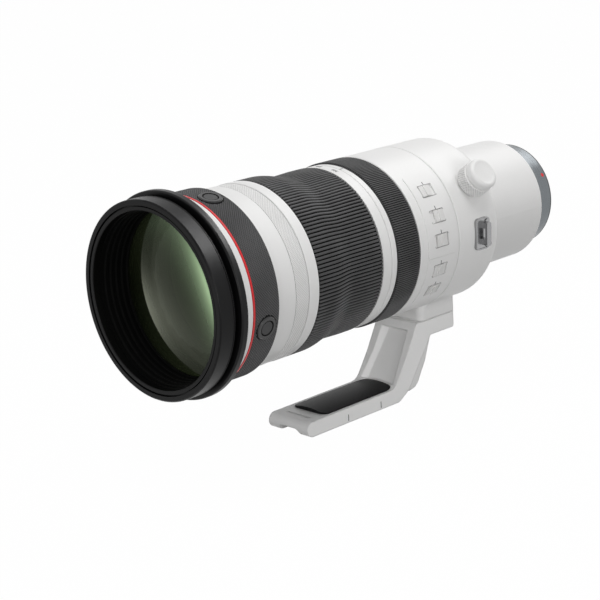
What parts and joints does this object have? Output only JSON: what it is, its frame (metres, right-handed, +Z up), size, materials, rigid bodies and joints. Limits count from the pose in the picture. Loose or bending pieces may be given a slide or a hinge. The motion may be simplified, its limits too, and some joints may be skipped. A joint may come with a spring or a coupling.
{
  "type": "super telephoto zoom lens",
  "caption": "White super telephoto zoom lens with ribbed grip rings, slide switches and a rotating tripod collar with foot.",
  "frame": {"origin": "centre of the camera mount's flange face, on the optical axis", "axes": "+Y along the optical axis from the front glass towards the camera, +Z up and away from the tripod foot, +X to the side with the switches"},
  "size_m": [0.122, 0.3295, 0.1692],
  "materials": {
    "black_anodised": "satin black anodised",
    "baffle_black": "matt black",
    "button_ring": "fine knurl, dark grey",
    "button_rubber": "smooth",
    "red": "satin red",
    "white_paint": "satin warm white",
    "slider_white": "matt",
    "grip_rubber": "ribbed",
    "sleeve_black": "black anodised",
    "glass": "green multi-layer coating",
    "inner_black": "matt",
    "inner_metal": "turned",
    "steel": "satin",
    "board": "matt",
    "brake": "plain",
    "mount_chrome": "bright turned",
    "contact_plastic": "matt"
  },
  "bodies": {
    "mount_foot": {"tripod_collar": "white_paint", "foot": "white_paint", "foot_pad": "grip_rubber", "foot_screws": "steel", "tripod_bushes": "steel", "strap_lugs": "steel"},
    "barrel": {"filter_ring": "black_anodised", "front_baffle": "baffle_black", "front_element": "glass", "hood_flange": "black_anodised", "trim_ring": "white_paint", "red_ring": "red", "button_ring": "button_ring", "button_bezels": "button_ring", "front_barrel": "white_paint", "front_cell": "inner_black", "front_doublet": "glass", "main_tube": "white_paint", "index_ring": "white_paint", "iris_unit": "inner_black", "stabiliser_housing": "inner_metal", "switch_barrel": "white_paint", "switch_panels": "white_paint", "focus_rods": "steel", "focus_motors": "steel", "circuit_boards": "board", "rear_barrel": "white_paint", "rear_lens": "glass", "rear_baffle": "baffle_black", "mount_ring": "mount_chrome", "mount_gasket": "grip_rubber", "mount_index": "red", "mount_screws": "steel", "contact_block": "contact_plastic", "contact_pins": "brake"},
    "brake_shoe": {"brake_shoe": "brake"},
    "lock_knob": {"lock_knob": "white_paint"},
    "control_ring": {"control_ring": "white_paint"},
    "zoom_ring": {"zoom_sleeve": "white_paint", "zoom_grip": "grip_rubber", "cam_tube": "inner_metal"},
    "zoom_group": {"variator_cell": "inner_black", "variator_lens": "glass"},
    "focus_ring": {"focus_sleeve": "sleeve_black", "focus_grip": "grip_rubber"},
    "focus_group": {"focus_cell": "inner_black", "focus_lens": "glass"},
    "stabiliser_frame": {"stabiliser_frame": "inner_black"},
    "stabiliser_cell": {"stabiliser_cell": "inner_black", "stabiliser_lens": "glass"},
    "function_button_1": {"function_button_1": "button_rubber"},
    "function_button_2": {"function_button_2": "button_rubber"},
    "function_button_3": {"function_button_3": "button_rubber"},
    "function_button_4": {"function_button_4": "button_rubber"},
    "switch_slider_1": {"switch_slider_1": "slider_white"},
    "switch_slider_2": {"switch_slider_2": "slider_white"},
    "switch_slider_3": {"switch_slider_3": "slider_white"},
    "switch_slider_4": {"switch_slider_4": "slider_white"},
    "switch_slider_5": {"switch_slider_5": "slider_white"}
  },
  "joints": [
    {"name": "barrel_turn", "type": "hinge", "parent": "mount_foot", "child": "barrel", "pos_m": [0, -0.09599, 0], "axis": [0, 1, 0], "continuous": true},
    {"name": "shoe_lift", "type": "slide", "parent": "mount_foot", "child": "brake_shoe", "axis": [0.8241, 0, 0.5664], "range_m": [0, 0.0008]},
    {"name": "knob_turn", "type": "hinge", "parent": "brake_shoe", "child": "lock_knob", "pos_m": [0, -0.09599, 0], "axis": [0.8241, 0, 0.5664], "range_deg": [0, 360]},
    {"name": "control_turn", "type": "hinge", "parent": "barrel", "child": "control_ring", "pos_m": [0, -0.2562, 0], "axis": [0, 1, 0], "continuous": true},
    {"name": "zoom_turn", "type": "hinge", "parent": "barrel", "child": "zoom_ring", "pos_m": [0, -0.2145, 0], "axis": [0, 1, 0], "range_deg": [0, 80]},
    {"name": "zoom_group_slide", "type": "slide", "parent": "barrel", "child": "zoom_group", "axis": [0, 1, 0], "range_m": [0, 0.03]},
    {"name": "focus_turn", "type": "hinge", "parent": "barrel", "child": "focus_ring", "pos_m": [0, -0.1636, 0], "axis": [0, 1, 0], "continuous": true},
    {"name": "focus_slide", "type": "slide", "parent": "barrel", "child": "focus_group", "axis": [0, 1, 0], "range_m": [-0.01, 0.01]},
    {"name": "stabiliser_x", "type": "slide", "parent": "barrel", "child": "stabiliser_frame", "axis": [1, 0, 0], "range_m": [-0.001, 0.001], "stiffness_N_per_m": 900},
    {"name": "stabiliser_z", "type": "slide", "parent": "stabiliser_frame", "child": "stabiliser_cell", "axis": [0, 0, 1], "range_m": [-0.001, 0.001], "stiffness_N_per_m": 900},
    {"name": "button_1_press", "type": "slide", "parent": "barrel", "child": "function_button_1", "axis": [-0.2672, 0, -0.9636], "range_m": [0, 0.0006], "stiffness_N_per_m": 1500},
    {"name": "button_2_press", "type": "slide", "parent": "barrel", "child": "function_button_2", "axis": [-0.9636, 0, 0.2672], "range_m": [0, 0.0006], "stiffness_N_per_m": 1500},
    {"name": "button_3_press", "type": "slide", "parent": "barrel", "child": "function_button_3", "axis": [0.2672, 0, 0.9636], "range_m": [0, 0.0006], "stiffness_N_per_m": 1500},
    {"name": "button_4_press", "type": "slide", "parent": "barrel", "child": "function_button_4", "axis": [0.9636, 0, -0.2672], "range_m": [0, 0.0006], "stiffness_N_per_m": 1500},
    {"name": "switch_1_slide", "type": "slide", "parent": "barrel", "child": "switch_slider_1", "axis": [0, 1, 0], "range_m": [0, 0.003]},
    {"name": "switch_2_slide", "type": "slide", "parent": "barrel", "child": "switch_slider_2", "axis": [0, 1, 0], "range_m": [-0.003, 0]},
    {"name": "switch_3_slide", "type": "slide", "parent": "barrel", "child": "switch_slider_3", "axis": [0, 1, 0], "range_m": [-0.0015, 0.0015]},
    {"name": "switch_4_slide", "type": "slide", "parent": "barrel", "child": "switch_slider_4", "axis": [0, 1, 0], "range_m": [0, 0.003]},
    {"name": "switch_5_slide", "type": "slide", "parent": "barrel", "child": "switch_slider_5", "axis": [0, 1, 0], "range_m": [-0.0015, 0.0015]}
  ],
  "couplings": [
    {"joint": "knob_turn", "follows": "shoe_lift", "rad_per_m": 7853.9},
    {"joint": "zoom_group_slide", "follows": "zoom_turn", "m_per_rad": 0.021486}
  ]
}
